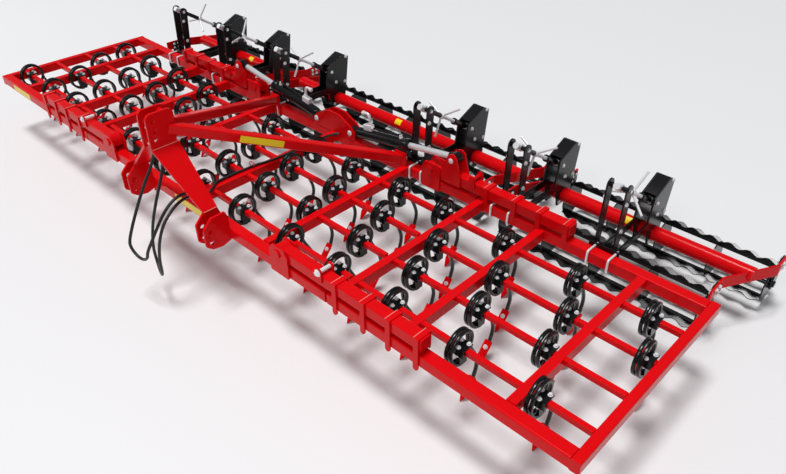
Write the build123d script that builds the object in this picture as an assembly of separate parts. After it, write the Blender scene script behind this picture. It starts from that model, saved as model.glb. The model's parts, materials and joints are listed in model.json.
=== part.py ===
from build123d import *
import math
import os

# Folding field cultivator with spring tines and twin serrated rollers, in millimetres.
# x runs to the machine's right, y to its rear and z up. Every piece is drawn with z = 0 at the top
# of the frame, x = 0 in its middle and y = 0 at its front, and moved to the ground at the end.

# Frame
FRAME_TOP = 475.0        # top of the frame above the ground
FRAME_WIDTH = 5500.0
FRAME_DEPTH = 1284.0
BEAM = 70.0              # square main tubes, front and rear
BEAM_ROUND = 9.0         # their corner radius
LONG_BAR = 50.0          # width of a fore-and-aft bar
LONG_BAR_TALL = 65.0
ROW_BAR = 30.0           # square bars that carry the tines
ROW_DROP = 3.0           # their top below the top of the frame
FIRST_ROW = 185.0
LAST_ROW = 310.0         # last row's middle in front of the frame's rear
ROWS = 4
CENTRE_HALF = 1265.0     # half the width of the centre section
SPLIT = 13.0             # gap between the centre section and a wing
CENTRE_BAR = 697.0       # fore-and-aft bars each side of the middle one
WING_BAR_IN = 462.0      # wing's second bar from its inner end
WING_BAR_OUT = 383.0     # wing's third bar from its outer end

# Tines
TINE_PITCH = 420.0
ROW_START = (306.0, 208.0, 128.0, 436.0)   # first tine right of the middle, row by row
WIRE = 18.0              # square spring steel
COIL_RADIUS = 86.0       # to the middle of the wire
COIL_PITCH = 24.0
COIL_TURNS = 1.75
COIL_SIDES = 8           # straight lengths in a turn
COIL_BACK = 10.0         # coil's middle behind the bar's middle
COIL_DROP = 8.0          # and below it
SHANK = ((112.0, -83.0), (168.0, -190.0), (190.0, -280.0), (158.0, -383.0))   # y, z behind the coil
SHARE_REACH = 78.0       # share's point behind the row bar
SHARE_WIDTH = 46.0
SHARE_THICK = 9.0
SHARE_LAP = 38.0         # share up the wire
SHARE_POINT = 54.0       # length of its pointed end
CLAMP_LEFT = 14.0        # clamp left of the coil's middle
CLAMP_RIGHT = 55.0       # and right of it
CLAMP_FRONT = 18.0       # clamp in front of the bar
CLAMP_REAR = 24.0        # and behind it
CLAMP_THICK = 8.0
LUG_WIDE = 28.0          # lug from the clamp down to the start of the wire
TINE_GAP = 5.0           # least space between a coil and a bar beside it

# Wing hinge and the upper tube that carries a wing
HINGE_BACK = 360.0       # hinge inside the centre section's end
ARM_LIFT = 27.0          # slot between the upper tube and the beam under it
ARM_REACH = 640.0        # upper tube along the wing
ARM_NECK = 95.0          # from the hinge to where the tube widens
HINGE_SIDE = 2.0         # play each side of the hinge eye
EYE_RADIUS = 48.0
PIN_RADIUS = 15.0
PIN_HEAD = 25.5          # radius of a pin's head
PIN_END = 9.0            # its thickness
PIN_PLAY = 0.3
CHEEK_THICK = 12.0
CHEEK_NEAR = 67.0        # cheek inboard of the hinge
CHEEK_FAR = 83.0         # and outboard of it
STRAPS = (67.0, 267.0, 437.0, 615.0)   # from the wing's inner end
STRAP_WIDTH = 30.0
STRAP_THICK = 10.0
STRAP_BAND = 6.0         # band over the top of the tube
STRAP_HANG = 24.0        # strap's round end below the beam
LOCK_BACK = 28.0         # cross pin on top of each upper tube, inside the centre section's end
LOCK_LIFT = 21.0         # its middle above the tube
LOCK_RADIUS = 11.0
LOCK_LUG = 22.0
LOCK_END = 8.0           # pin beyond its lugs

# Folding cylinders
BASE_X = 172.0           # barrel's pivot
BASE_Z = 55.0
EAR_REACH = 175.0        # rod's pivot on the wing, outboard of the hinge
EAR_Z = 193.0
EAR_RADIUS = 38.0
EAR_NEAR = 76.0          # ear inboard of the rod's pivot
EAR_FAR = 70.0           # and outboard of it
EAR_SHOULDER = 40.0      # ear's inner edge above the tube
EAR_BOSS = 8.0           # pin boss outside an ear
BOSS_RADIUS = 22.5
BARREL_RADIUS = 37.0
BARREL_BORE = 29.0
BARREL_START = 54.0
BARREL_LENGTH = 530.0
BARREL_WALL = 20.0       # closed end
BARREL_NECK = 26.0       # half the height of the neck to its eye
BARREL_EYE = 34.0
GLAND = 42.0             # length of the gland at the open end
GLAND_STEP = 4.0
PORT_RADIUS = 13.0
PORT_RISE = 23.0         # port above the barrel's skin
PORT_FIRST = 50.0        # from the closed end
PORT_LAST = 75.0         # from the open end
PIPE_RADIUS = 6.0        # oil pipe along the barrel
PIPE_RISE = 15.0         # its middle above the barrel's skin
ROD_RADIUS = 20.0
ROD_INSIDE = 90.0        # length of rod inside the barrel
ROD_EYE = 34.0
ROD_LAP = 8.0            # shaft into its eye
PISTON = 24.0
PISTON_PLAY = 1.0
EYE_WIDTH = 44.0
EYE_PLAY = 3.0           # each side of a cylinder's eye
BRACKET_THICK = 12.0
BRACKET_PEAK = 150.0
BRACKET_FLAT = 114.0     # width of its flat top
BRACKET_PIN = 8.0        # pin beyond the bracket's plates

# Three-point hitch
HITCH_SPAN = 825.0       # between the lower clevises
CLEVIS_GAP = 60.0        # between the two ears of a clevis
EAR_THICK = 15.0
LOWER_PIN = 28.5         # bore for a category 2 lower pin
LOWER_Y = -124.0
LOWER_HOLES = (42.0, -30.0)
HITCH_NOSE = 40.0        # ear in front of its bores
HITCH_HIGH = 66.0        # ear's front edge, upper end
HITCH_LOW = -46.0        # and lower end
HITCH_CHIN = -78.0       # ear under its bores
HITCH_HEEL = (-60.0, -88.0)
HITCH_ROUND = 20.0
HITCH_SHOULDER = 40.0    # ear's edge at the beam below its top
LOWER_TOP = 124.0        # where the mast leg meets the inner ear
UPPER_PIN = 25.5         # bore for a category 2 top pin
UPPER_Y = -122.0
UPPER_HOLES = (572.0, 518.0, 464.0)
MAST_GAP = 66.0          # between the two mast plates
MAST_TOP = 623.0
MAST_FRONT = -162.0
MAST_REAR = 10.0
MAST_ROUND = 38.0
MAST_FOLD = 407.0        # where a plate bends outwards into its leg
LEG_FRONT = -106.0
LEG_REAR = -14.0
LEG_TOE = 0.2            # share of the leg's thickness left at its foot
SPACER_RADIUS = 17.0
SPACERS = ((-40.0, 440.0), (-30.0, 590.0))
BRACE = 60.0             # square tube from the mast to the rear beam
BRACE_FROM = (30.0, -30.0, 505.0)
BRACE_X = 652.0          # its foot on the rear beam
BRACE_Z = 42.0
BRACE_FOOT = 12.0
FOOT_HALF = 48.0

# Roller carriers, two to a section
UNIT_CENTRE = 718.0
UNIT_IN = 174.0          # wing's first carrier from its inner end
UNIT_OUT = 665.0         # and second one from its outer end
POST_GAP = 100.0         # between the two post plates
POST_THICK = 10.0
POST_WIDE = 66.0
POST_STEP = 20.0         # posts' front edge stands back from the cylinders above the beam
POST_TOP = 365.0         # upper cross pin
POST_BACK = 66.0         # behind the frame
LINK_BACK = 38.0         # lower cross pin behind the frame
LINK_Z = -72.0
LINK_EYE = 25.0
CROSS_PIN = 12.0
CROSS_END = 6.0          # cross pin beyond its plates
CARRIER_GAP = 72.0       # between the two carrier plates
CARRIER_THICK = 12.0
CARRIER_FRONT = 125.0    # where an arm plate starts to widen, in front of the gang tube
CARRIER_BELLY = 95.0
# saddle's edge, y and z about the gang tube
SADDLE = ((-62.0, -63.0), (65.0, -63.0), (92.0, 85.0), (125.0, 325.0), (68.0, 355.0))
WEB_BACK = 70.0          # plate between the two, behind the gang tube
WEB = (125.0, 315.0)     # its height over the gang tube
FOOT_BACK = 516.0        # spindle's foot pin behind the frame
FOOT_Z = 75.0
FOOT_EDGE = (-40.0, 42.0)   # plate's edge from the foot pin
SPINDLE_TUBE = 19.0
SPINDLE_ROD = 11.0
SPINDLE_EYE = 22.0
SPINDLE_HALF = 16.0      # half the width of its end eyes
SCREW = 225.0            # open thread between the upper pin and the tube
HANDLE_AT = 118.0        # handle's place along the spindle
HANDLE_HUB = 34.0
HANDLE_REACH = 105.0
HANDLE_WIRE = 7.0

# Roller gangs
GANG_BACK = 576.0        # gang tube behind the frame
GANG_Z = -165.0
GANG_RADIUS = 47.0
ARM_SHIFT = 175.0        # sideways step of each end arm
ARM_THICK = 12.0
ARM_TALL = 76.0
ARM_BENDS = (-350.0, -170.0, 130.0, 290.0)   # an arm's ends and bends about the gang tube
ROLLER_BACK = {"front": -260.0, "rear": 230.0}   # axles about the gang tube
ROLLER_RADIUS = 150.0
AXLE_RADIUS = 20.0
HANGER_WIDE = 74.0
HANGER_THICK = 10.0
HANGER_STEP = 6.0        # its top below the top of the arm
AXLE_END = 8.0           # axle end beyond its hanger
ROLLER_PLAY = 8.0        # between a roller and its hangers
ROLLER_BARS = 6
TOOTH = 115.0            # pitch of the teeth on a roller bar
TOOTH_DEEP = 22.0
BAR_TALL = 48.0
BAR_THICK = 8.0
DISC_RADIUS = 118.0
DISC_THICK = 8.0
DISC_SIDES = 12
DISC_SPACE = 330.0
GANG_LEFT = (10.0, 152.0)      # ends inside the section's ends, left then right
GANG_CENTRE = (30.0, 205.0)
GANG_RIGHT = (-38.0, 125.0)

# Hydraulic hoses at the front
HOSE = 18.0              # outer diameter
HOSE_ONE = (
    (-17, -112, 392), (-21, -124, 345), (-27, -152, 286), (-22, -206, 218), (-12, -262, 142),
    (0, -318, 62), (11, -370, -20), (18, -410, -98), (29, -409, -139), (59, -404, -169),
    (100, -399, -180), (141, -394, -169), (171, -389, -139), (182, -388, -98), (197, -348, -24),
    (204, -300, 52), (204, -244, 120), (200, -180, 164), (186, -112, 170), (160, -46, 130),
    (130, 5, 70),
)
HOSE_TWO = (
    (17, -86, 392), (20, -92, 338), (28, -116, 268), (36, -160, 184), (42, -206, 96),
    (46, -246, 6), (47, -272, -82), (46, -284, -146), (46, -290, -202), (59, -294, -251),
    (93, -306, -287), (141, -322, -300), (188, -338, -287), (223, -350, -251), (236, -354, -202),
    (243, -356, -148), (252, -348, -66), (256, -326, 14), (252, -286, 82), (236, -226, 122),
    (196, -148, 132), (142, -66, 106), (92, 2, 66),
)
COUPLER = 13.0           # radius of the fittings at the hose ends
COUPLER_LENGTH = 40.0
HOLDER_Z = 418.0
HOLDER = (-140.0, -60.0)
HOLDER_THICK = 10.0
MANIFOLD = ((55.0, 150.0), (12.0, 58.0), (0.0, 44.0))   # block that the hoses run to

# Worked out from the sizes above
WING_IN = CENTRE_HALF + SPLIT
WING_OUT = FRAME_WIDTH / 2
REAR_FACE = FRAME_DEPTH - BEAM
BEAM_Y = {"front": BEAM / 2, "rear": FRAME_DEPTH - BEAM / 2}
CYLINDER_Y = BEAM_Y["rear"]
ARM_Z = ARM_LIFT + BEAM / 2
ROW_Z = -ROW_DROP - ROW_BAR / 2
ROW_PITCH = (FRAME_DEPTH - LAST_ROW - FIRST_ROW) / (ROWS - 1)
ROW_Y = tuple(FIRST_ROW + ROW_PITCH * k for k in range(ROWS))
GROUND = -FRAME_TOP
AXLE_Z = GROUND + ROLLER_RADIUS
COIL_HALF = (COIL_PITCH * COIL_TURNS + WIRE) / 2
KEEP_LEFT = LONG_BAR / 2 + COIL_HALF + TINE_GAP
KEEP_RIGHT = LONG_BAR / 2 + CLAMP_RIGHT + TINE_GAP
CENTRE_BARS = (-CENTRE_BAR, 0.0, CENTRE_BAR)
WING_BARS = (WING_IN + LONG_BAR / 2, WING_IN + WING_BAR_IN, WING_OUT - WING_BAR_OUT, WING_OUT - LONG_BAR / 2)
UNIT_NEAR = WING_IN + UNIT_IN
UNIT_FAR = WING_OUT - UNIT_OUT
UNITS = {
    "centre": (-UNIT_CENTRE, UNIT_CENTRE),
    "right": (UNIT_NEAR, UNIT_FAR),
    "left": (-UNIT_FAR, -UNIT_NEAR),
}
HINGE_X = CENTRE_HALF - HINGE_BACK
ARM_STEP = HINGE_X + ARM_NECK
ARM_END = WING_IN + ARM_REACH
CHEEK_IN = HINGE_X - CHEEK_NEAR
CHEEK_OUT = HINGE_X + CHEEK_FAR
LOCK_X = CENTRE_HALF - LOCK_BACK
EAR_X = HINGE_X + EAR_REACH
CYLINDER_RISE = math.degrees(math.atan2(EAR_Z - BASE_Z, EAR_X - BASE_X))
CYLINDER_LENGTH = math.hypot(EAR_X - BASE_X, EAR_Z - BASE_Z)
POST_Y = FRAME_DEPTH + POST_BACK
LINK_Y = FRAME_DEPTH + LINK_BACK
FOOT_PIN = (FRAME_DEPTH + FOOT_BACK, FOOT_Z)
GANG_Y = FRAME_DEPTH + GANG_BACK
ARM_Y = tuple(GANG_Y + bend for bend in ARM_BENDS)
ROLLER_Y = {place: GANG_Y + back for place, back in ROLLER_BACK.items()}
GANGS = {
    "left": (-WING_OUT + GANG_LEFT[0], -WING_IN - GANG_LEFT[1]),
    "centre": (-CENTRE_HALF + GANG_CENTRE[0], CENTRE_HALF - GANG_CENTRE[1]),
    "right": (WING_IN + GANG_RIGHT[0], WING_OUT - GANG_RIGHT[1]),
}
MAST_PLATE = MAST_GAP / 2 + EAR_THICK / 2
CLEVIS_IN = HITCH_SPAN / 2 - CLEVIS_GAP / 2

# Outer limits of the machine; the origin lies under the middle of its box
HITCH_FRONT = LOWER_Y - HITCH_NOSE
X_LOW = -WING_OUT
X_HIGH = GANGS["right"][1] + ARM_SHIFT + ARM_THICK
Y_LOW = HITCH_FRONT
BAR_ANGLES = tuple(2 * math.pi * k / ROLLER_BARS for k in range(ROLLER_BARS))
BAR_REACH = max(ROLLER_RADIUS * math.sin(a) + BAR_THICK / 2 * abs(math.cos(a)) for a in BAR_ANGLES)
Y_HIGH = ROLLER_Y["rear"] + BAR_REACH
PLACE = Location((-(X_LOW + X_HIGH) / 2, -(Y_LOW + Y_HIGH) / 2, FRAME_TOP))


def block(x, y, z):
    # a box between two limits in each direction
    middle = Pos((x[0] + x[1]) / 2, (y[0] + y[1]) / 2, (z[0] + z[1]) / 2)
    return middle * Box(x[1] - x[0], y[1] - y[0], z[1] - z[0])


def beam_x(x0, x1, y, z, wide=BEAM, tall=BEAM, radius=BEAM_ROUND):
    # a tube with rounded corners, along x
    plane = Plane((min(x0, x1), y, z), x_dir=(0, 1, 0), z_dir=(1, 0, 0))
    return extrude(plane * RectangleRounded(wide, tall, radius), amount=abs(x1 - x0))


def side_plate(sketch, x, thick):
    # a plate drawn in y and z, standing across x from x to x + thick
    return extrude(Plane((x, 0, 0), x_dir=(0, 1, 0), z_dir=(1, 0, 0)) * sketch, amount=thick)


def face_plate(sketch, y, thick):
    # a plate drawn in x and z, standing across y from y to y + thick
    return extrude(Plane((0, y, 0), x_dir=(1, 0, 0), z_dir=(0, -1, 0)) * sketch, amount=-thick)


def outline(points, radius=0.0):
    # a face round the given corners, each rounded by the radius
    face = make_face(Polyline(*points, close=True))
    if radius:
        face = fillet(face.vertices(), radius)
    return face


def pin_x(x, y, z, radius, half):
    return Pos(x, y, z) * Rot(0, 90, 0) * Cylinder(radius, 2 * half)


def pin_y(x, y, z, radius, half):
    return Pos(x, y, z) * Rot(90, 0, 0) * Cylinder(radius, 2 * half)


def other_side(piece):
    return mirror(piece, about=Plane.YZ)


def sided(build):
    # a piece drawn for the right, and its mirror image
    right = build()
    return {"right": right, "left": other_side(right)}


def save(node, *pieces):
    solids = [solid for piece in pieces for solid in piece.solids()]
    whole = solids[0] if len(solids) == 1 else Compound(solids)
    export_step(whole.moved(PLACE), f"parts/{node}.step")


# Frame: beams, fore-and-aft bars and row bars

def long_bar(x):
    return block((x - LONG_BAR / 2, x + LONG_BAR / 2), (BEAM, REAR_FACE), (-LONG_BAR_TALL, 0))


def end_bar(x):
    plane = Plane((x, 0, -BEAM / 2), x_dir=(1, 0, 0), z_dir=(0, 1, 0))
    return extrude(plane * RectangleRounded(LONG_BAR, BEAM, BEAM_ROUND), amount=FRAME_DEPTH)


def row_bars(bars, low, high):
    # row bars cut into lengths that butt against the fore-and-aft bars
    half = LONG_BAR / 2
    stops = [low] + [edge for bar in bars for edge in (bar - half, bar + half)] + [high]
    spans = [(a, b) for a, b in zip(stops[::2], stops[1::2]) if b > a]
    return [
        block(span, (y - ROW_BAR / 2, y + ROW_BAR / 2), (ROW_Z - ROW_BAR / 2, ROW_Z + ROW_BAR / 2))
        for y in ROW_Y for span in spans
    ]


# Double-coil spring tine

def tine():
    # square wire that starts under the row bar, winds round it and bows back and down to its share
    path = []
    for k in range(round(COIL_TURNS * COIL_SIDES) + 1):
        angle = 2 * math.pi * (COIL_TURNS - k / COIL_SIDES)
        across = COIL_PITCH * (COIL_TURNS / 2 - k / COIL_SIDES)
        y = COIL_BACK + COIL_RADIUS * math.cos(angle)
        path.append((across, y, COIL_RADIUS * math.sin(angle) - COIL_DROP))
    start = path[0]
    side = path[-1][0]
    path += [(side, y, z) for y, z in SHANK]
    first = Vector(path[1]) - Vector(start)
    section = Plane(start, x_dir=(1, 0, 0), z_dir=first) * Rectangle(WIRE, WIRE)
    wire = sweep(section, path=Polyline(*path), transition=Transition.RIGHT)

    # clamp round the bar, open to the rear, with a lug down to the start of the wire
    half = ROW_BAR / 2
    thick = half + CLAMP_THICK
    rear = half + CLAMP_REAR
    hook = outline(((rear, half), (rear, thick), (-half - CLAMP_FRONT, thick), (-half - CLAMP_FRONT, -thick),
                    (rear, -thick), (rear, -half), (-half, -half), (-half, half)))
    clamp = side_plate(hook, -CLAMP_LEFT, CLAMP_LEFT + CLAMP_RIGHT)
    lug = (COIL_BACK - LUG_WIDE / 2, COIL_BACK + LUG_WIDE / 2)
    clamp += block((start[0] - WIRE / 2, start[0] + WIRE / 2), lug, (start[2], -half))

    # share: a pointed plate down the front of the wire's lower end
    end = Vector(0, *SHANK[-1])
    back = Vector(0, *SHANK[-2])
    tip = Vector(0, SHARE_REACH, GROUND - ROW_Z)
    top = end + (back - end).normalized() * SHARE_LAP
    slope = (tip - top).normalized()
    flat = Plane((side, top.Y, top.Z), x_dir=(1, 0, 0), z_dir=Vector(1, 0, 0).cross(slope))
    length = (tip - top).length
    wide = SHARE_WIDTH / 2
    neck = length - SHARE_POINT
    shape = outline(((-wide, 0), (wide, 0), (wide, neck), (0, length), (-wide, neck)))
    plate = extrude(flat * shape, amount=-SHARE_THICK)
    return (wire + clamp + plate).solid()


def tine_places():
    # every tine's section, x and row: by the pitch of its row, moved clear of the fore-and-aft bars
    places = []
    for row, start in enumerate(ROW_START):
        count = int(FRAME_WIDTH / TINE_PITCH)
        for x in (start + TINE_PITCH * k for k in range(-count, count)):
            if abs(x) > WING_OUT - LONG_BAR:
                continue
            side = math.copysign(1, x)
            section = "centre" if abs(x) < WING_IN else "right" if x > 0 else "left"
            bars = CENTRE_BARS if section == "centre" else [side * bar for bar in WING_BARS]
            for bar in bars:
                if -KEEP_RIGHT < x - bar < KEEP_LEFT:
                    x = bar + KEEP_LEFT if x > bar else bar - KEEP_RIGHT
            if section == "centre":
                x = max(COIL_HALF - CENTRE_HALF, min(x, CENTRE_HALF - CLAMP_RIGHT))
            places.append((section, x, row))
    return places


# Wing hinge

def hinge(place):
    # two cheeks on the faces of the centre beam, with the pin and its heads
    y = BEAM_Y[place]
    middle = (CHEEK_IN + CHEEK_OUT) / 2
    top = ARM_Z + EYE_RADIUS
    cheek = outline(((CHEEK_IN, -BEAM), (CHEEK_OUT, -BEAM), (CHEEK_OUT, ARM_Z), (middle + EYE_RADIUS, top),
                     (middle - EYE_RADIUS, top), (CHEEK_IN, ARM_Z)), BEAM_ROUND)
    cheeks = face_plate(cheek, y + BEAM / 2, CHEEK_THICK)
    cheeks += face_plate(cheek, y - BEAM / 2 - CHEEK_THICK, CHEEK_THICK)
    pin = pin_y(HINGE_X, y, ARM_Z, PIN_RADIUS, BEAM / 2 + CHEEK_THICK)
    heads = pin_y(HINGE_X, y, ARM_Z, PIN_HEAD, BEAM / 2 + CHEEK_THICK + PIN_END)
    heads -= pin_y(HINGE_X, y, ARM_Z, 2 * PIN_HEAD, BEAM / 2 + CHEEK_THICK)
    return cheeks + pin + heads


def wing_arm(place):
    # upper tube of a wing, with its hinge eye, straps down to the wing's beam and the lock pin
    y = BEAM_Y[place]
    width = BEAM - 2 * HINGE_SIDE
    tube = beam_x(ARM_STEP, ARM_END, y, ARM_Z)
    across = (y - width / 2, y + width / 2)
    neck = block((HINGE_X, ARM_STEP + BEAM_ROUND), across, (ARM_Z - BEAM / 2, ARM_Z + BEAM / 2))
    eye = pin_y(HINGE_X, y, ARM_Z, EYE_RADIUS, width / 2)
    arm = tube + neck + eye
    top = ARM_Z + BEAM / 2
    half = STRAP_WIDTH / 2
    low = half - BEAM - STRAP_HANG
    outer = y - BEAM / 2 - STRAP_THICK if place == "front" else y + BEAM / 2
    inner = y + BEAM / 2 if place == "front" else y - BEAM / 2 - STRAP_THICK
    seat = (y - BEAM / 2 + BEAM_ROUND, y + BEAM / 2 - BEAM_ROUND)
    band = (y - BEAM / 2 - STRAP_THICK, y + BEAM / 2 + STRAP_THICK)
    for x in (WING_IN + strap for strap in STRAPS):
        ends = (x - half, x + half)
        arm += block(ends, seat, (0, ARM_LIFT + BEAM_ROUND))
        arm += block(ends, band, (top, top + STRAP_BAND))
        leg = outline(((ends[0], low), (ends[1], low), (ends[1], top), (ends[0], top)))
        leg += Pos(x, low) * Circle(half)
        arm += face_plate(leg, outer, STRAP_THICK)
        arm += block(ends, (inner, inner + STRAP_THICK), (0, top))
    lock_z = ARM_Z + BEAM / 2 + LOCK_LIFT
    lug = outline(((LOCK_X - LOCK_LUG, ARM_Z), (LOCK_X + LOCK_LUG, ARM_Z), (LOCK_X + LOCK_LUG, lock_z),
                   (LOCK_X - LOCK_LUG, lock_z))) + Pos(LOCK_X, lock_z) * Circle(LOCK_LUG)
    for near in (y - BEAM / 2 - STRAP_THICK, y + BEAM / 2):
        arm += face_plate(lug, near, STRAP_THICK)
    arm += pin_y(LOCK_X, y, lock_z, LOCK_RADIUS, BEAM / 2 + STRAP_THICK + LOCK_END)
    if place == "rear":
        ear_in = EAR_X - EAR_NEAR
        ear_out = EAR_X + EAR_FAR
        ear = outline(((ear_in, ARM_LIFT), (ear_out, ARM_LIFT), (ear_out, top), (EAR_X + EAR_RADIUS, EAR_Z),
                       (EAR_X - EAR_RADIUS, EAR_Z), (ear_in, top + EAR_SHOULDER)))
        ear += Pos(EAR_X, EAR_Z) * Circle(EAR_RADIUS)
        for near, out in ((y - BEAM / 2 - CHEEK_THICK, -1), (y + BEAM / 2, 1)):
            arm += face_plate(ear, near, CHEEK_THICK)
            boss = near + CHEEK_THICK / 2 + out * EAR_BOSS / 2
            arm += pin_y(EAR_X, boss, EAR_Z, BOSS_RADIUS, (CHEEK_THICK + EAR_BOSS) / 2)
    return arm - pin_y(HINGE_X, y, ARM_Z, PIN_RADIUS + PIN_PLAY, BEAM)


# Folding cylinder

def cylinder_bracket():
    # two plates on the rear beam with a pin for each barrel
    left = -BASE_X - EAR_RADIUS
    peak = BRACKET_FLAT / 2
    high = BASE_Z + EAR_RADIUS
    plate = outline(((left, 0), (-left, 0), (-left, BASE_Z), (BASE_X, high), (peak, BRACKET_PEAK),
                     (-peak, BRACKET_PEAK), (-BASE_X, high), (left, BASE_Z)))
    inside = EYE_WIDTH / 2 + EYE_PLAY
    bracket = face_plate(plate, CYLINDER_Y - inside - BRACKET_THICK, BRACKET_THICK)
    bracket += face_plate(plate, CYLINDER_Y + inside, BRACKET_THICK)
    for x in (-BASE_X, BASE_X):
        bracket += pin_y(x, CYLINDER_Y, BASE_Z, PIN_RADIUS, inside + BRACKET_THICK + BRACKET_PIN)
    return bracket


def along_cylinder(piece):
    # turns a piece drawn along +x from the barrel's pivot to its place at rest
    return Pos(BASE_X, CYLINDER_Y, BASE_Z) * Rot(0, -CYLINDER_RISE, 0) * piece


def rod_x(start, end, radius):
    return Pos((start + end) / 2, 0, 0) * Rot(0, 90, 0) * Cylinder(radius, end - start)


def barrel():
    # tube with its gland and eye, two ports and the pipe between them, hollow from end to end
    body = rod_x(BARREL_START, BARREL_LENGTH, BARREL_RADIUS)
    gland = rod_x(BARREL_LENGTH - GLAND, BARREL_LENGTH, BARREL_RADIUS + GLAND_STEP)
    width = (-EYE_WIDTH / 2, EYE_WIDTH / 2)
    neck = block((0, BARREL_START + GLAND_STEP), width, (-BARREL_NECK, BARREL_NECK))
    eye = pin_y(0, 0, 0, BARREL_EYE, EYE_WIDTH / 2)
    places = (BARREL_START + PORT_FIRST, BARREL_LENGTH - PORT_LAST)
    tall = BARREL_RADIUS + PORT_RISE - BARREL_BORE
    ports = [Pos(x, 0, BARREL_BORE + tall / 2) * Cylinder(PORT_RADIUS, tall) for x in places]
    pipe = Pos(0, 0, BARREL_RADIUS + PIPE_RISE) * rod_x(*places, PIPE_RADIUS)
    hollow = BARREL_START + BARREL_WALL
    whole = body + gland + neck + eye + ports + pipe
    whole -= rod_x(hollow, BARREL_LENGTH - GLAND, BARREL_BORE)
    whole -= rod_x(hollow, BARREL_LENGTH + GLAND, ROD_RADIUS + PIN_PLAY)
    return along_cylinder(whole - pin_y(0, 0, 0, PIN_RADIUS + PIN_PLAY, EYE_WIDTH))


def rod():
    inner = BARREL_LENGTH - ROD_INSIDE
    shaft = rod_x(inner, CYLINDER_LENGTH - ROD_EYE + ROD_LAP, ROD_RADIUS)
    piston = rod_x(inner - PISTON, inner, BARREL_BORE - PISTON_PLAY)
    eye = pin_y(CYLINDER_LENGTH, 0, 0, ROD_EYE, EYE_WIDTH / 2)
    eye -= pin_y(CYLINDER_LENGTH, 0, 0, PIN_RADIUS + PIN_PLAY, EYE_WIDTH)
    return along_cylinder(shaft + piston + eye)


# Three-point hitch

def mast_side():
    # one plate bent from the mast down into its leg
    inside = MAST_GAP / 2
    foot = CLEVIS_IN - EAR_THICK
    line = ((inside, MAST_TOP), (inside, MAST_FOLD), (foot, LOWER_TOP))
    run = math.hypot(foot - inside, MAST_FOLD - LOWER_TOP)
    lift = EAR_THICK * run / (foot - inside)
    bend = EAR_THICK * (run - (MAST_FOLD - LOWER_TOP)) / (foot - inside)
    outer = inside + EAR_THICK
    strip = outline((*line, (foot + EAR_THICK, LOWER_TOP), (foot + EAR_THICK, LOWER_TOP + lift * LEG_TOE),
                     (outer, MAST_FOLD + bend), (outer, MAST_TOP)))
    sheet = face_plate(strip, MAST_FRONT - 1, MAST_REAR - MAST_FRONT + 2)
    shape = outline(((MAST_FRONT, MAST_TOP), (MAST_REAR, MAST_TOP), (MAST_REAR, MAST_FOLD),
                     (LEG_REAR, LOWER_TOP), (LEG_FRONT, LOWER_TOP), (MAST_FRONT, MAST_FOLD)))
    shape = fillet(shape.vertices().sort_by(Axis.Y)[-2:], MAST_ROUND)
    side = sheet & side_plate(shape, 0, HITCH_SPAN)
    for z in UPPER_HOLES:
        side -= pin_x(MAST_PLATE, UPPER_Y, z, UPPER_PIN / 2, EAR_THICK)
    return side


def lower_hitch():
    # two ears on the front beam, with a plate between them against the beam
    ear = outline(((0, -BEAM), (0, LOWER_TOP - HITCH_SHOULDER), (LEG_REAR, LOWER_TOP), (LEG_FRONT, LOWER_TOP),
                   (HITCH_FRONT, HITCH_HIGH), (HITCH_FRONT, HITCH_LOW), (LOWER_Y, HITCH_CHIN), HITCH_HEEL))
    ear = fillet(ear.vertices().sort_by(Axis.X)[:3], HITCH_ROUND)
    x = CLEVIS_IN - EAR_THICK
    both = side_plate(ear, x, EAR_THICK)
    both += side_plate(ear, x + EAR_THICK + CLEVIS_GAP, EAR_THICK)
    both += block((x, x + 2 * EAR_THICK + CLEVIS_GAP), (-EAR_THICK, 0), (-BEAM, 0))
    for z in LOWER_HOLES:
        both -= pin_x(HITCH_SPAN / 2, LOWER_Y, z, LOWER_PIN / 2, CLEVIS_GAP)
    return both


def brace():
    # square tube cut to the side of the mast and to its foot on the rear beam
    start = Vector(*BRACE_FROM)
    run = Vector(BRACE_X, REAR_FACE, BRACE_Z) - start
    level = Vector(0, 0, 1).cross(run).normalized()
    section = Plane(start, x_dir=level, z_dir=run) * RectangleRounded(BRACE, BRACE, BEAM_ROUND)
    tube = extrude(section, amount=run.length + BRACE)
    mast_face = MAST_GAP / 2 + EAR_THICK
    foot_y = REAR_FACE - BRACE_FOOT
    tube &= block((mast_face, WING_IN), (MAST_FRONT, foot_y), (-BEAM, MAST_TOP))
    foot_z = BRACE_Z + FOOT_HALF
    foot_x = BRACE_X
    bar_side = CENTRE_BAR - LONG_BAR / 2
    foot = outline(((foot_x - FOOT_HALF, -BEAM), (bar_side, -BEAM), (bar_side, 0), (foot_x + FOOT_HALF, 0),
                    (foot_x + FOOT_HALF, foot_z), (foot_x - FOOT_HALF, foot_z)))
    return tube + face_plate(foot, foot_y, BRACE_FOOT)


def mast_spacers():
    pieces = []
    for y, z in SPACERS:
        pieces.append(pin_x(0, y, z, SPACER_RADIUS, MAST_GAP / 2))
    return pieces


# Roller carriers

def posts(x):
    # two plates behind the rear beam, joined by the upper and lower cross pins
    half = POST_WIDE / 2
    low = LINK_Z - LINK_EYE
    shape = outline(((FRAME_DEPTH, low), (LINK_Y + LINK_EYE, low), (POST_Y + half, POST_TOP),
                     (POST_Y - half, POST_TOP), (FRAME_DEPTH + POST_STEP, POST_STEP), (FRAME_DEPTH, 0)))
    shape += Pos(POST_Y, POST_TOP) * Circle(half)
    near = POST_GAP / 2
    pair = side_plate(shape, x - near - POST_THICK, POST_THICK)
    pair += side_plate(shape, x + near, POST_THICK)
    for y, z in ((POST_Y, POST_TOP), (LINK_Y, LINK_Z)):
        pair += pin_x(x, y, z, CROSS_PIN, near + POST_THICK + CROSS_END)
    return pair


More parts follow.
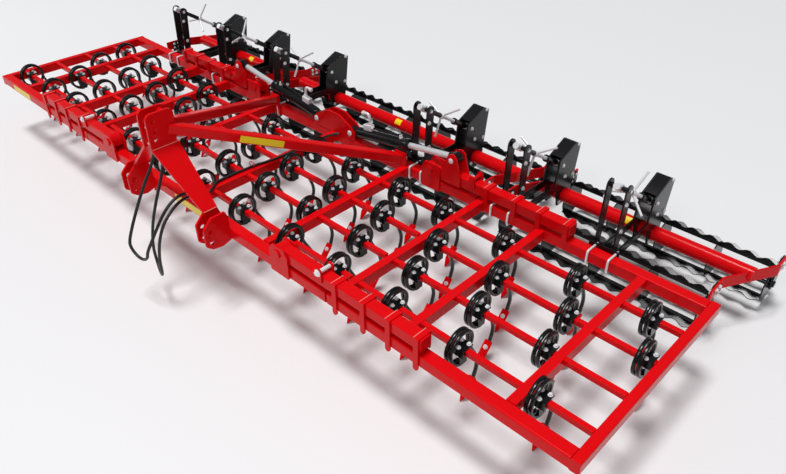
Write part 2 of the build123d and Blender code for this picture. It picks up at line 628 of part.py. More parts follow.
def carrier(x):
    # two arm plates that widen into the saddle on the gang tube, joined by the spindle's foot pin
    half = LINK_EYE
    saddle = [(GANG_Y + y, GANG_Z + z) for y, z in SADDLE]
    edge = (FOOT_PIN[0] + FOOT_EDGE[0], FOOT_PIN[1] + FOOT_EDGE[1])
    shape = outline([(LINK_Y, LINK_Z - half), (GANG_Y - CARRIER_BELLY, LINK_Z - half), *saddle, edge,
                     (GANG_Y - CARRIER_FRONT, LINK_Z + half), (LINK_Y, LINK_Z + half)])
    shape += Pos(LINK_Y, LINK_Z) * Circle(half)
    shape -= Pos(LINK_Y, LINK_Z) * Circle(CROSS_PIN + PIN_PLAY)
    shape -= Pos(GANG_Y, GANG_Z) * Circle(GANG_RADIUS + PIN_PLAY)
    near = CARRIER_GAP / 2
    pair = side_plate(shape, x - near - CARRIER_THICK, CARRIER_THICK)
    pair += side_plate(shape, x + near, CARRIER_THICK)
    pair += pin_x(x, *FOOT_PIN, CROSS_PIN, near)
    web = GANG_Y + WEB_BACK
    tall = (GANG_Z + WEB[0], GANG_Z + WEB[1])
    pair += block((x - near, x + near), (web, web + CARRIER_THICK), tall)
    return pair


def spindle(x):
    # threaded spindle between the posts' pin and the carrier's pin, with a three-armed handle
    run = Vector(0, FOOT_PIN[0] - POST_Y, FOOT_PIN[1] - POST_TOP)
    length = run.length
    plane = Plane((x, POST_Y, POST_TOP), x_dir=(1, 0, 0), z_dir=run)
    eye = Rot(0, 90, 0) * Cylinder(SPINDLE_EYE, 2 * SPINDLE_HALF)
    whole = Pos(0, 0, length / 2) * Cylinder(SPINDLE_ROD, length) + eye + Pos(0, 0, length) * eye
    whole += Pos(0, 0, (SCREW + length) / 2) * Cylinder(SPINDLE_TUBE, length - SCREW)
    whole += Pos(0, 0, HANDLE_AT) * Cylinder(SPINDLE_TUBE, HANDLE_HUB)
    for turn in (90, 210, 330):
        out = Pos(0, 0, HANDLE_AT) * Rot(0, 0, turn) * Pos(HANDLE_REACH / 2, 0, 0) * Rot(0, 90, 0)
        whole += out * Cylinder(HANDLE_WIRE, HANDLE_REACH)
    for place in (0, length):
        whole -= Pos(0, 0, place) * Rot(0, 90, 0) * Cylinder(CROSS_PIN + PIN_PLAY, 4 * SPINDLE_HALF)
    return plane * whole


# Roller gangs

def end_arm(x):
    # flat bar with a sideways step, its front and rear hangers and their axle bores
    steps = (0, 0, ARM_SHIFT, ARM_SHIFT)
    near = tuple((x + step, y) for step, y in zip(steps, ARM_Y))
    far = tuple((a + ARM_THICK, b) for a, b in reversed(near))
    return extrude(Plane((0, 0, GANG_Z - ARM_TALL / 2)) * outline(near + far), amount=ARM_TALL)


def hanger(x, y):
    half = HANGER_WIDE / 2
    top = GANG_Z + ARM_TALL / 2 - HANGER_STEP
    shape = outline(((y - half, AXLE_Z), (y + half, AXLE_Z), (y + half, top), (y - half, top)))
    shape += Pos(y, AXLE_Z) * Circle(half)
    shape -= Pos(y, AXLE_Z) * Circle(AXLE_RADIUS + PIN_PLAY)
    return side_plate(shape, x, HANGER_THICK)


def gang(left, right):
    # tube, two end arms and the hangers on their inner faces
    step = ARM_SHIFT * (GANG_Y - ARM_Y[1]) / (ARM_Y[2] - ARM_Y[1])
    middle = (left + right + ARM_THICK) / 2 + step
    tube = pin_x(middle, GANG_Y, GANG_Z, GANG_RADIUS, (right - left) / 2)
    whole = tube + end_arm(left) + end_arm(right)
    for y, shift in ((ROLLER_Y["front"], 0), (ROLLER_Y["rear"], ARM_SHIFT)):
        whole += hanger(left + shift + ARM_THICK, y) + hanger(right + shift - HANGER_THICK, y)
    return whole


def roller(low, high, y):
    # axle, discs and serrated bars between two hangers
    start = low + HANGER_THICK + ROLLER_PLAY
    end = high - HANGER_THICK - ROLLER_PLAY
    length = end - start
    teeth = max(1, round(length / TOOTH))
    pitch = length / teeth
    root = ROLLER_RADIUS - TOOTH_DEEP
    edge = [(start + pitch * k / 2, ROLLER_RADIUS if k % 2 else root) for k in range(2 * teeth + 1)]
    foot = ROLLER_RADIUS - BAR_TALL
    bar = face_plate(outline(edge + [(end, foot), (start, foot)]), -BAR_THICK / 2, BAR_THICK)
    discs = max(2, round(length / DISC_SPACE) + 1)
    whole = pin_x((low + high) / 2, 0, 0, AXLE_RADIUS, (high - low) / 2 + AXLE_END)
    for k in range(discs):
        x = start + DISC_THICK / 2 + (length - DISC_THICK) * k / (discs - 1)
        flat = RegularPolygon(DISC_RADIUS, DISC_SIDES)
        whole += side_plate(flat, x - DISC_THICK / 2, DISC_THICK)
    whole += [Rot(360 * k / ROLLER_BARS, 0, 0) * bar for k in range(ROLLER_BARS)]
    return Pos(0, y, AXLE_Z) * whole


# Hoses and their fittings

def hose_radii(points):
    # the largest arc that each corner's two runs allow
    radii = []
    for a, b, c in zip(points, points[1:], points[2:]):
        before = Vector(*b) - Vector(*a)
        after = Vector(*c) - Vector(*b)
        turn = math.radians(before.get_angle(after))
        radii.append(0.45 * min(before.length, after.length) / math.tan(turn / 2))
    return radii


def hose(name, points):
    radii = hose_radii(points)
    print(name, "bend radii:", " ".join(f"{radius:.0f}" for radius in radii))
    path = FilletPolyline(*points, radius=radii)
    run = Vector(*points[1]) - Vector(*points[0])
    tube = sweep(Plane(points[0], z_dir=run) * Circle(HOSE / 2), path=path)
    print(name, "length", round(path.length), "volume against section times length",
          round(tube.volume / (math.pi * HOSE ** 2 / 4 * path.length), 4))
    return tube


def coupler(end, inner):
    # fitting in line with the end of a hose, met face to face
    out = (Vector(*end) - Vector(*inner)).normalized()
    return extrude(Plane(end, z_dir=out) * Circle(COUPLER), amount=COUPLER_LENGTH)


def hose_fittings():
    holder = block((-MAST_GAP / 2, MAST_GAP / 2), HOLDER, (HOLDER_Z, HOLDER_Z + HOLDER_THICK))
    ends = coupler(HOSE_ONE[0], HOSE_ONE[1]) + coupler(HOSE_TWO[0], HOSE_TWO[1]) + holder
    tails = coupler(HOSE_ONE[-1], HOSE_ONE[-2]) + coupler(HOSE_TWO[-1], HOSE_TWO[-2]) + block(*MANIFOLD)
    return ends, tails


def build():
    os.makedirs("parts", exist_ok=True)

    for place, y in BEAM_Y.items():
        save(f"{place}_beam_centre", beam_x(-CENTRE_HALF, CENTRE_HALF, y, -BEAM / 2))
        wing_beam = beam_x(WING_IN, WING_OUT - LONG_BAR, y, -BEAM / 2)
        save(f"{place}_beam_right", wing_beam)
        save(f"{place}_beam_left", other_side(wing_beam))
    for name, x in zip(("left", "middle", "right"), CENTRE_BARS):
        save(f"long_bar_{name}", long_bar(x))
    save("row_bars_centre", *row_bars(CENTRE_BARS, -CENTRE_HALF, CENTRE_HALF))
    inner = [long_bar(x) for x in WING_BARS[:2]]
    outer = [long_bar(WING_BARS[2]), end_bar(WING_BARS[3])]
    rows = row_bars(WING_BARS, WING_IN, WING_OUT)
    for side, turn in (("right", lambda piece: piece), ("left", other_side)):
        save(f"wing_bars_inner_{side}", *[turn(piece) for piece in inner])
        save(f"wing_bars_outer_{side}", *[turn(piece) for piece in outer])
        save(f"row_bars_{side}", *[turn(piece) for piece in rows])

    pattern = tine()
    for section in UNITS:
        places = [Location((x, ROW_Y[row], ROW_Z)) for name, x, row in tine_places() if name == section]
        save(f"tines_{section}", *[pattern.moved(place) for place in places])

    for place in BEAM_Y:
        for side, piece in sided(lambda: hinge(place)).items():
            save(f"hinge_{place}_{side}", piece)
        for side, piece in sided(lambda: wing_arm(place)).items():
            save(f"wing_arm_{place}_{side}", piece)
    save("cylinder_bracket", cylinder_bracket())
    for side, piece in sided(barrel).items():
        save(f"barrel_{side}", piece)
    for side, piece in sided(rod).items():
        save(f"rod_{side}", piece)

    right_mast = mast_side()
    save("mast_right", right_mast)
    save("mast_left", other_side(right_mast) + mast_spacers())
    for side, piece in sided(lower_hitch).items():
        save(f"hitch_lower_{side}", piece)
    for side, piece in sided(brace).items():
        save(f"brace_{side}", piece)

    for section, places in UNITS.items():
        save(f"posts_{section}", *[posts(x) for x in places])
        save(f"carriers_{section}", *[carrier(x) for x in places])
        save(f"spindles_{section}", *[spindle(x) for x in places])
    for section, (left, right) in GANGS.items():
        save(f"gang_{section}", gang(left, right))
        save(f"roller_front_{section}", roller(left + ARM_THICK, right, ROLLER_Y["front"]))
        shifted = roller(left + ARM_THICK + ARM_SHIFT, right + ARM_SHIFT, ROLLER_Y["rear"])
        save(f"roller_rear_{section}", shifted)

    save("hose_fittings", *hose_fittings())
    save("hose_one", hose("hose one", HOSE_ONE))
    save("hose_two", hose("hose two", HOSE_TWO))


build()
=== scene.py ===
import json
import math
import bpy
import numpy as np
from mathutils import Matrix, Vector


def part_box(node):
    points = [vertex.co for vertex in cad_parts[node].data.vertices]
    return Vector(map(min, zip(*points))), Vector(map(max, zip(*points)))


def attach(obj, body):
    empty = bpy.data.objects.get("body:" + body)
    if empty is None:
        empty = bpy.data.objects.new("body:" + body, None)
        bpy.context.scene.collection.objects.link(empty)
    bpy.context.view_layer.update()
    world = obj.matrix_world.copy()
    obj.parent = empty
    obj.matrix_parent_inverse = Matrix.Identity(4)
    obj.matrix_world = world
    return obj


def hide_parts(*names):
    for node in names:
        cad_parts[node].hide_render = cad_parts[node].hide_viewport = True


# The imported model, and the drawing's zero at the middle, front and top of the front beam.
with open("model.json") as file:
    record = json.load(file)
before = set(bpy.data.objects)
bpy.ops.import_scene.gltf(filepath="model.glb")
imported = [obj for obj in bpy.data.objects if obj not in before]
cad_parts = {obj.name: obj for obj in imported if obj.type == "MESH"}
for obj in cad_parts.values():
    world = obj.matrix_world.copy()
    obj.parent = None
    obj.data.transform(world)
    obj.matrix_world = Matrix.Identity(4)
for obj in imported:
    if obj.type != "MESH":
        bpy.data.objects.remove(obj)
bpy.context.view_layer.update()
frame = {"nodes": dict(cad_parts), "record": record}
low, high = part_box("front_beam_centre")
zero = np.array([(low.x + high.x) / 2, low.y, high.z])
ground = -zero[2] * 1000
xAxis, yAxis, zAxis = (1, 0, 0), (0, 1, 0), (0, 0, 1)
print("frame loaded:", len(frame["nodes"]), "nodes")


def placed(points):
    # drawing millimetres to metres in the shared frame
    return np.asarray(points, float) / 1000 + zero


def drawn(points):
    # and back to drawing millimetres
    return (np.array(points) - zero) * 1000


# A part is an array of corners and a list of face arrays, one array for each number of corners.
def skin(rings):
    rings = np.asarray(rings, float)
    count, sides = rings.shape[:2]
    index = np.arange(count * sides).reshape(count, sides)
    ahead = np.roll(index, -1, axis=1)
    sheet = np.stack([index[:-1], ahead[:-1], ahead[1:], index[1:]], axis=-1).reshape(-1, 4)
    return rings.reshape(-1, 3), [sheet, index[:1, ::-1], index[-1:]]


def joined(parts):
    corners, faces, start = [], [], 0
    for points, polygons in parts:
        corners.append(points)
        faces += [polygon + start for polygon in polygons]
        start += len(points)
    return np.concatenate(corners), faces


def moved(part, shift):
    return part[0] + np.array(shift), part[1]


def copies(part, shifts):
    points, faces = part
    shifts = np.asarray(shifts, float).reshape(-1, 3)
    offsets = (np.arange(len(shifts)) * len(points))[:, None, None]
    corners = (points[None] + shifts[:, None]).reshape(-1, 3)
    return corners, [(face[None] + offsets).reshape(-1, face.shape[1]) for face in faces]


def turned(part, origin, along, across):
    # local x, y, z to an origin with z along one direction and x near another
    along = np.asarray(along, float) / np.linalg.norm(along)
    across = np.asarray(across, float) - np.dot(across, along) * along
    across = across / np.linalg.norm(across)
    basis = np.array([across, np.cross(along, across), along])
    return part[0] @ basis + np.asarray(origin, float), part[1]


def mirrored(part):
    return part[0] * np.array([-1.0, 1.0, 1.0]), [face[:, ::-1] for face in part[1]]


def sided(parts, side):
    return parts if side == "right" else [mirrored(part) for part in parts]


def disc(radius, sides, turn=0.0):
    angle = 2 * math.pi * (np.arange(sides) + turn) / sides
    return radius * np.stack([np.cos(angle), np.sin(angle)], axis=1)


def roundedBox(wide, tall, radius, steps=3):
    # corner arcs of a rectangle, in order round it
    points = []
    for corner, (sx, sy) in enumerate(((1, 1), (-1, 1), (-1, -1), (1, -1))):
        for angle in np.linspace(0, math.pi / 2, steps + 1) + corner * math.pi / 2:
            points.append((sx * (wide / 2 - radius) + radius * math.cos(angle),
                           sy * (tall / 2 - radius) + radius * math.sin(angle)))
    return np.array(points)


def sweep(path, profile, across=xAxis):
    # point + u * n + v * b for a profile of (u, v), with n the across direction square to the path
    path, across = np.asarray(path, float), np.asarray(across, float)
    tangent = np.gradient(path, axis=0)
    tangent /= np.linalg.norm(tangent, axis=1)[:, None]
    side = across - (tangent @ across)[:, None] * tangent
    side /= np.linalg.norm(side, axis=1)[:, None]
    other = np.cross(tangent, side)
    u, v = profile[None, :, :1], profile[None, :, 1:]
    return skin(path[:, None] + u * side[:, None] + v * other[:, None])


def drum(start, end, radius, edge, drop=None):
    # (distance, radius) pairs of a cylinder with bevelled ends
    rim = radius - (edge if drop is None else drop)
    return (start, rim), (start + edge, radius), (end - edge, radius), (end, rim)


def turnedShape(profile, origin, along, sides, turn=0.0):
    # profile of (distance, radius) pairs turned round an axis; turn is in steps of a side
    rings = [np.column_stack([disc(radius, sides, turn), np.full(sides, place)])
             for place, radius in profile]
    upright = abs(along[2]) >= 0.9 * np.linalg.norm(along)  # too near z to lean on it
    return turned(skin(rings), origin, along, xAxis if upright else zAxis)


def upShape(profile, sides):
    return turnedShape(profile, (0, 0, 0), zAxis, sides)


def bar(start, end, radius, sides, edge):
    start, end = np.asarray(start, float), np.asarray(end, float)
    profile = drum(0, np.linalg.norm(end - start), radius, edge)
    return turnedShape(profile, start, end - start, sides)


# Bolt heads: washer, shoulder and crown as shares of the head's radius and height.
headSize = {"washer": 1.25, "washerSides": 20, "seat": 0.16, "shoulder": 0.85, "crown": 0.84,
            "sides": 6, "turn": 0.5}


def headed(origin, along, radius, tall):
    # hexagon head with a chamfered crown and a washer under it
    rim, seat = radius * headSize["washer"], tall * headSize["seat"]
    washer = turnedShape(((0, rim), (seat, rim)), origin, along, headSize["washerSides"])
    crown = ((seat, radius), (tall * headSize["shoulder"], radius),
             (tall, radius * headSize["crown"]))
    head = turnedShape(crown, origin, along, headSize["sides"], headSize["turn"])
    return joined([washer, head])


def inset(outline, amount):
    # outline (counterclockwise) moved inwards along the mitres of its corners
    before = outline - np.roll(outline, 1, axis=0)
    after = np.roll(outline, -1, axis=0) - outline
    before = before / np.linalg.norm(before, axis=1)[:, None]
    after = after / np.linalg.norm(after, axis=1)[:, None]
    first = np.column_stack([-before[:, 1], before[:, 0]])
    second = np.column_stack([-after[:, 1], after[:, 0]])
    mitre = (first + second) / (1 + np.sum(first * second, axis=1))[:, None]
    return outline + mitre * amount


def plate(outline, depth, edge=1.2):
    # outline in local x, y raised along z, with bevelled edges
    outline = np.asarray(outline, float)
    x, y = outline.T
    if np.sum(x * np.roll(y, -1) - y * np.roll(x, -1)) < 0:
        outline = outline[::-1]
    inner = inset(outline, edge)
    layers = ((inner, 0), (outline, edge), (outline, depth - edge), (inner, depth))
    return skin([np.column_stack([ring, np.full(len(ring), level)]) for ring, level in layers])


def sidePlate(outline, x, depth):
    # outline in y, z raised along x
    return turned(plate(outline, depth), (x, 0, 0), xAxis, yAxis)


def smoothPath(points, steps):
    # Catmull-Rom curve through the points
    points = np.asarray(points, float)
    ends = np.vstack([2 * points[0] - points[1], points, 2 * points[-1] - points[-2]])
    t = np.linspace(0, 1, steps, endpoint=False)[:, None]
    runs = []
    for p0, p1, p2, p3 in zip(ends, ends[1:], ends[2:], ends[3:]):
        runs.append(0.5 * (2 * p1 + (p2 - p0) * t + (2 * p0 - 5 * p1 + 4 * p2 - p3) * t ** 2
                           + (3 * p1 - p0 - 3 * p2 + p3) * t ** 3))
    return np.vstack(runs + [points[-1:]])


# Materials: a socket with sums and products, and one method that makes nodes.
class Field:
    def __init__(self, tree, socket=None):
        self.tree = tree
        self.socket = socket

    def node(self, kind, settings=None, inputs=None, output=0):
        made = self.tree.nodes.new(kind)
        for name, value in (settings or {}).items():
            setattr(made, name, value)
        for name, value in (inputs or {}).items():
            if isinstance(value, Field):
                self.tree.links.new(value.socket, made.inputs[name])
            else:
                made.inputs[name].default_value = value
        return Field(self.tree, made.outputs[output])

    def math(self, operation, other):
        return self.node("ShaderNodeMath", {"operation": operation}, {0: self, 1: other})

    def __add__(self, other):
        return self.math("ADD", other)

    def __mul__(self, other):
        return self.math("MULTIPLY", other)

    __radd__ = __add__
    __rmul__ = __mul__


# Socket numbers of the nodes whose sockets share a name, and what all the finishes have alike.
sockets = {"object": 3, "factor": 0, "first": 6, "second": 7, "mixed": 2}
finishSize = {"cloudDetail": 4.0, "grainDetail": 2.0, "coatRough": 0.08}


def finish(name, look):
    # a surface with an even colour, a slightly uneven gloss and a fine grain
    material = bpy.data.materials.new(name)
    material.use_nodes = True
    tree = material.node_tree
    surface = tree.nodes["Principled BSDF"]
    place = Field(tree).node("ShaderNodeTexCoord", output=sockets["object"])
    broad = place.node("ShaderNodeTexNoise", None, {
        "Vector": place, "Scale": look["cloud"], "Detail": finishSize["cloudDetail"]})
    grain = place.node("ShaderNodeTexNoise", None, {
        "Vector": place, "Scale": look["grain"], "Detail": finishSize["grainDetail"]})
    tone = place.node("ShaderNodeMix", {"data_type": "RGBA"}, {
        sockets["factor"]: broad, sockets["first"]: look["colour"],
        sockets["second"]: look["shade"]}, sockets["mixed"])
    gloss = broad * look["spread"] + (look["rough"] - look["spread"] / 2)
    height = place.node("ShaderNodeBump", None, {
        "Height": grain, "Strength": look["bump"], "Distance": look["relief"]})
    for socket, field in (("Base Color", tone), ("Roughness", gloss), ("Normal", height)):
        tree.links.new(field.socket, surface.inputs[socket])
    surface.inputs["Metallic"].default_value = look["metal"]
    surface.inputs["Coat Weight"].default_value = look["coat"]
    surface.inputs["Coat Roughness"].default_value = finishSize["coatRough"]
    surface.inputs["Specular IOR Level"].default_value = look["shine"]
    material.diffuse_color = look["colour"]
    return material


redPaint = finish("redPaint", {
    "colour": (0.74, 0.003, 0.006, 1), "shade": (0.66, 0.002, 0.004, 1), "cloud": 3.0,
    "grain": 260.0, "rough": 0.22, "spread": 0.06, "bump": 0.04, "relief": 0.001,
    "metal": 0.0, "coat": 0.04, "shine": 0.10})
# Pale pink red of the weld beads: a painted highlight, lighter than the red paint they stand on.
beadHighlightPaint = finish("beadHighlightPaint", {
    "colour": (0.92, 0.30, 0.26, 1), "shade": (0.90, 0.22, 0.20, 1), "cloud": 40.0,
    "grain": 300.0, "rough": 0.20, "spread": 0.06, "bump": 0.10, "relief": 0.001,
    "metal": 0.0, "coat": 0.3, "shine": 0.5})
blackPaint = finish("blackPaint", {
    "colour": (0.004, 0.004, 0.005, 1), "shade": (0.008, 0.008, 0.009, 1), "cloud": 6.0,
    "grain": 320.0, "rough": 0.24, "spread": 0.08, "bump": 0.06, "relief": 0.001,
    "metal": 0.0, "coat": 0.12, "shine": 0.26})
zincPlate = finish("zincPlate", {
    "colour": (0.90, 0.91, 0.93, 1), "shade": (0.80, 0.81, 0.83, 1), "cloud": 30.0,
    "grain": 700.0, "rough": 0.34, "spread": 0.12, "bump": 0.05, "relief": 0.0005,
    "metal": 0.25, "coat": 0.0, "shine": 0.5})
chromePlate = finish("chromePlate", {
    "colour": (0.88, 0.89, 0.91, 1), "shade": (0.84, 0.85, 0.87, 1), "cloud": 20.0,
    "grain": 500.0, "rough": 0.14, "spread": 0.04, "bump": 0.01, "relief": 0.0005,
    "metal": 0.45, "coat": 0.0, "shine": 0.5})
hoseRubber = finish("hoseRubber", {
    "colour": (0.012, 0.012, 0.012, 1), "shade": (0.020, 0.020, 0.020, 1), "cloud": 25.0,
    "grain": 900.0, "rough": 0.42, "spread": 0.12, "bump": 0.20, "relief": 0.001,
    "metal": 0.0, "coat": 0.0, "shine": 0.4})
yellowLabel = finish("yellowLabel", {
    "colour": (0.95, 0.72, 0.01, 1), "shade": (0.92, 0.66, 0.01, 1), "cloud": 12.0,
    "grain": 500.0, "rough": 0.36, "spread": 0.06, "bump": 0.02, "relief": 0.0005,
    "metal": 0.0, "coat": 0.2, "shine": 0.4})
slotLooks = {"red_paint": redPaint, "black_paint": blackPaint, "zinc": zincPlate,
             "chrome": chromePlate, "hose_rubber": hoseRubber}


creaseAngle = 32  # degrees over which an edge is sharp


def piece(name, parts, material, body, replaced=()):
    corners, faces = joined(parts)
    mesh = bpy.data.meshes.new(name)
    mesh.vertices.add(len(corners))
    mesh.vertices.foreach_set("co", placed(corners).ravel())
    loops = np.concatenate([face.ravel() for face in faces])
    sizes = np.concatenate([np.full(len(face), face.shape[1]) for face in faces])
    mesh.loops.add(len(loops))
    mesh.loops.foreach_set("vertex_index", loops.astype(np.int32))
    mesh.polygons.add(len(sizes))
    mesh.polygons.foreach_set("loop_start", (np.cumsum(sizes) - sizes).astype(np.int32))
    mesh.update(calc_edges=True)
    mesh.validate()
    mesh.shade_smooth()
    mesh.set_sharp_from_angle(angle=math.radians(creaseAngle))
    obj = bpy.data.objects.new(name, mesh)
    bpy.context.scene.collection.objects.link(obj)
    mesh.materials.append(material)
    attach(obj, body)
    if replaced:
        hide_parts(*replaced)


# Camera, from the photo's own perspective.
eye = {"place": (3392.666, -1696.355, 2292.464), "turn": (54.16483, 0.29451, 43.89449),
       "lens": 32.0558, "sensor": 36, "far": 200}
cameraData = bpy.data.cameras.new("camera")
cameraData.sensor_width = eye["sensor"]
cameraData.lens = eye["lens"]
cameraData.clip_end = eye["far"]
camera = bpy.data.objects.new("camera", cameraData)
camera.location = placed(eye["place"])
camera.rotation_euler = [math.radians(angle) for angle in eye["turn"]]
bpy.context.scene.collection.objects.link(camera)
bpy.context.scene.camera = camera
print("camera set")

# Hydraulic hoses: free cords along the same routes as the solid ones.
hoseRoutes = {
    "hose_one": (
        (-17, -112, 392), (-21, -124, 345), (-27, -152, 286), (-22, -206, 218), (-12, -262, 142),
        (0, -318, 62), (11, -370, -20), (18, -410, -98), (29, -409, -139), (59, -404, -169),
        (100, -399, -180), (141, -394, -169), (171, -389, -139), (182, -388, -98),
        (197, -348, -24), (204, -300, 52), (204, -244, 120), (200, -180, 164), (186, -112, 170),
        (160, -46, 130), (130, 5, 70)),
    "hose_two": (
        (17, -86, 392), (20, -92, 338), (28, -116, 268), (36, -160, 184), (42, -206, 96),
        (46, -246, 6), (47, -272, -82), (46, -284, -146), (46, -290, -202), (59, -294, -251),
        (93, -306, -287), (141, -322, -300), (188, -338, -287), (223, -350, -251),
        (236, -354, -202), (243, -356, -148), (252, -348, -66), (256, -326, 14), (252, -286, 82),
        (236, -226, 122), (196, -148, 132), (142, -66, 106), (92, 2, 66)),
}
hoseSize = {"hose_one": 1.399, "hose_two": 1.587, "diameter": 0.018, "round": 5, "steps": 10,
            "order": 3}
for name, route in hoseRoutes.items():
    curve = bpy.data.curves.new(name + "Line", "CURVE")
    curve.dimensions = "3D"
    curve.bevel_depth = hoseSize["diameter"] / 2
    curve.bevel_resolution = hoseSize["round"]
    curve.resolution_u = hoseSize["steps"]
    curve.use_fill_caps = True
    spline = curve.splines.new("NURBS")
    points = placed(route)
    spline.points.add(len(points) - 1)
    spline.points.foreach_set("co", np.column_stack([points, np.ones(len(points))]).ravel())
    spline.order_u = hoseSize["order"]
    spline.use_endpoint_u = True
    cord = bpy.data.objects.new(name + "Line", curve)
    bpy.context.scene.collection.objects.link(cord)
    curve.materials.append(hoseRubber)
    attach(cord, "centre_frame")
    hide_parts(name)
print("hoses laid")

# Kept nodes take the finish of their slot; their edges are softened for the light to catch.
edgeSize = {"merge": 0.0001, "width": 0.0018, "segments": 2, "angle": 40, "weight": 90}
slotOf = {part["node"]: part["material_slot"] for part in frame["record"]["subparts"]}
for name, obj in frame["nodes"].items():
    obj.data.materials.clear()
    obj.data.materials.append(slotLooks[slotOf[name]])
    weld = obj.modifiers.new("weld", "WELD")
    weld.merge_threshold = edgeSize["merge"]
    bevel = obj.modifiers.new("bevel", "BEVEL")
    bevel.width = edgeSize["width"]
    bevel.segments = edgeSize["segments"]
    bevel.limit_method = "ANGLE"
    bevel.angle_limit = math.radians(edgeSize["angle"])
    obj.data.polygons.foreach_set("use_smooth", np.ones(len(obj.data.polygons), bool))
    even = obj.modifiers.new("even", "WEIGHTED_NORMAL")
    even.weight = edgeSize["weight"]
print("kept nodes painted")

# Spring tines, found from the tips of the solid ones: clamp round the bar, helix and bowed shank.
# helix: x = pitch (turns / 2 - k), y = back + r cos(a), z = r sin(a) - drop, a = 2 pi (turns - k)
tineSize = {
    "wire": 18.0, "wireRound": 4.0, "wireSteps": 2, "radius": 86.0, "pitch": 24.0, "turns": 1.75,
    "back": 10.0, "drop": 8.0, "helixSteps": 50, "shankSteps": 6,
    "shank": ((112, -83), (168, -190), (190, -280), (158, -383)), "tip": (78.0, -457.0),
    "clamp": ((39, 15), (39, 23), (-33, 23), (-33, -23), (39, -23), (39, -15), (-15, -15),
              (-15, 15)),
    "clampX": (-14.0, 55.0), "lug": ((-32.0, -18.0), (38.0, -18.0)), "lugThick": 18.0,
    "lugHalf": 24.0, "lugSink": 4.0, "bolts": ((-2, 27), (41, 27), (19, -24)), "level": 23.0,
    "head": (9.5, 10.0), "stud": (6.0, 12, 1), "studEnd": 14.0}
shareSize = {"wide": 46.0, "thick": 9.0, "top": 38.0, "point": 54.0, "edge": 1.5, "cut": (4, 5),
             "taper": (0.55, 28), "nose": 2, "boltAt": 0.45, "head": (11.0, 9.0)}


def springPart(size):
    turn = np.linspace(0, size["turns"], size["helixSteps"])
    angle = 2 * math.pi * (size["turns"] - turn)
    helix = np.column_stack([size["pitch"] * (size["turns"] / 2 - turn),
                             size["back"] + size["radius"] * np.cos(angle),
                             size["radius"] * np.sin(angle) - size["drop"]])
    start, end = helix[0], helix[-1]
    shank = smoothPath([end] + [(end[0], y, z) for y, z in size["shank"]], size["shankSteps"])
    wire = sweep(np.vstack([helix[:-1], shank]),
                 roundedBox(size["wire"], size["wire"], size["wireRound"], size["wireSteps"]))
    first, last = size["clampX"]
    clamp = sidePlate(size["clamp"], first, last - first)
    foot = start[2] - size["lugSink"]
    shape = [*size["lug"], (size["back"] + size["lugHalf"], foot),
             (size["back"] - size["lugHalf"], foot)]
    lug = sidePlate(shape, start[0] - size["lugThick"] / 2, size["lugThick"])
    return joined([wire, clamp, lug])


def shareParts(size, share):
    side = -size["pitch"] * size["turns"] / 2
    end, back = np.array(size["shank"][-1]), np.array(size["shank"][-2])
    top = end + (back - end) / np.linalg.norm(back - end) * share["top"]
    slope = np.array(size["tip"]) - top
    length = np.linalg.norm(slope)
    slope = slope / length
    half, neck = share["wide"] / 2, length - share["point"]
    across, down = share["cut"]
    taper, run = share["taper"]
    right = ((half - across, 0), (half, down), (half, neck), (half * taper, neck + run),
             (share["nose"], length))
    shape = right + tuple((-x, y) for x, y in right[::-1])
    out = np.array([0, slope[1], -slope[0]])
    basis = np.array([xAxis, (0, slope[0], slope[1]), out])
    corners, faces = plate(shape, share["thick"], share["edge"])
    blade = (corners @ basis + np.array([side, *top]), [face[:, ::-1] for face in faces])
    middle = np.array([side, *(top + slope * neck * share["boltAt"])])
    bolts = [headed(middle + way * out * share["thick"], way * out, *share["head"])
             for way in (1, -1)]
    return blade, bolts


def clampBolts(size):
    bolts, level = [], size["level"]
    for x, y in size["bolts"]:
        bolts += [headed((x, y, level), (0, 0, 1), *size["head"]),
                  bar((x, y, -level - size["studEnd"]), (x, y, level), *size["stud"]),
                  headed((x, y, -level), (0, 0, -1), *size["head"])]
    return bolts


def tineShifts(section):
    mesh = frame["nodes"]["tines_" + section].data
    points = np.empty(len(mesh.vertices) * 3)
    mesh.vertices.foreach_get("co", points)
    points = drawn(points.reshape(-1, 3))
    tips = points[points[:, 2] < ground + 0.5]  # half a millimetre over the ground
    tips = np.unique(np.round(tips), axis=0)
    side = -tineSize["pitch"] * tineSize["turns"] / 2
    return tips - np.array([side, *tineSize["tip"]])


bodyOf = {"centre": "centre_frame", "left": "wing_left", "right": "wing_right"}
tineSpring = springPart(tineSize)
tineShare, shareBolts = shareParts(tineSize, shareSize)
tineBolt = joined(shareBolts + clampBolts(tineSize))
for section, body in bodyOf.items():
    shifts = tineShifts(section)
    piece("tineSprings_" + section, [copies(tineSpring, shifts)], blackPaint, body,
          ["tines_" + section])
    piece("tineShares_" + section, [copies(tineShare, shifts)], redPaint, body)
    piece("tineBolts_" + section, [copies(tineBolt, shifts)], zincPlate, body)
    print("tines", section, len(shifts))

# Rollers: axle, discs and bars with a wavy edge.
# edge: r = R - deep * (1 + cos(2 pi (x - start) / pitch)) / 2
rollerSize = {
    "radius": 150.0, "deep": 22.0, "tooth": 115.0, "toothSteps": 12, "tall": 48.0, "thick": 8.0,
    "edge": 2.0, "bars": 6, "axle": (20.0, 32, 2), "ends": 26.0, "space": 330.0, "disc": 118.0,
    "discThick": 8.0, "discEdge": 1.5, "discSides": 48, "bore": 26.0, "hub": 28.0, "hubOut": 9.0,
    "hubSides": 28}


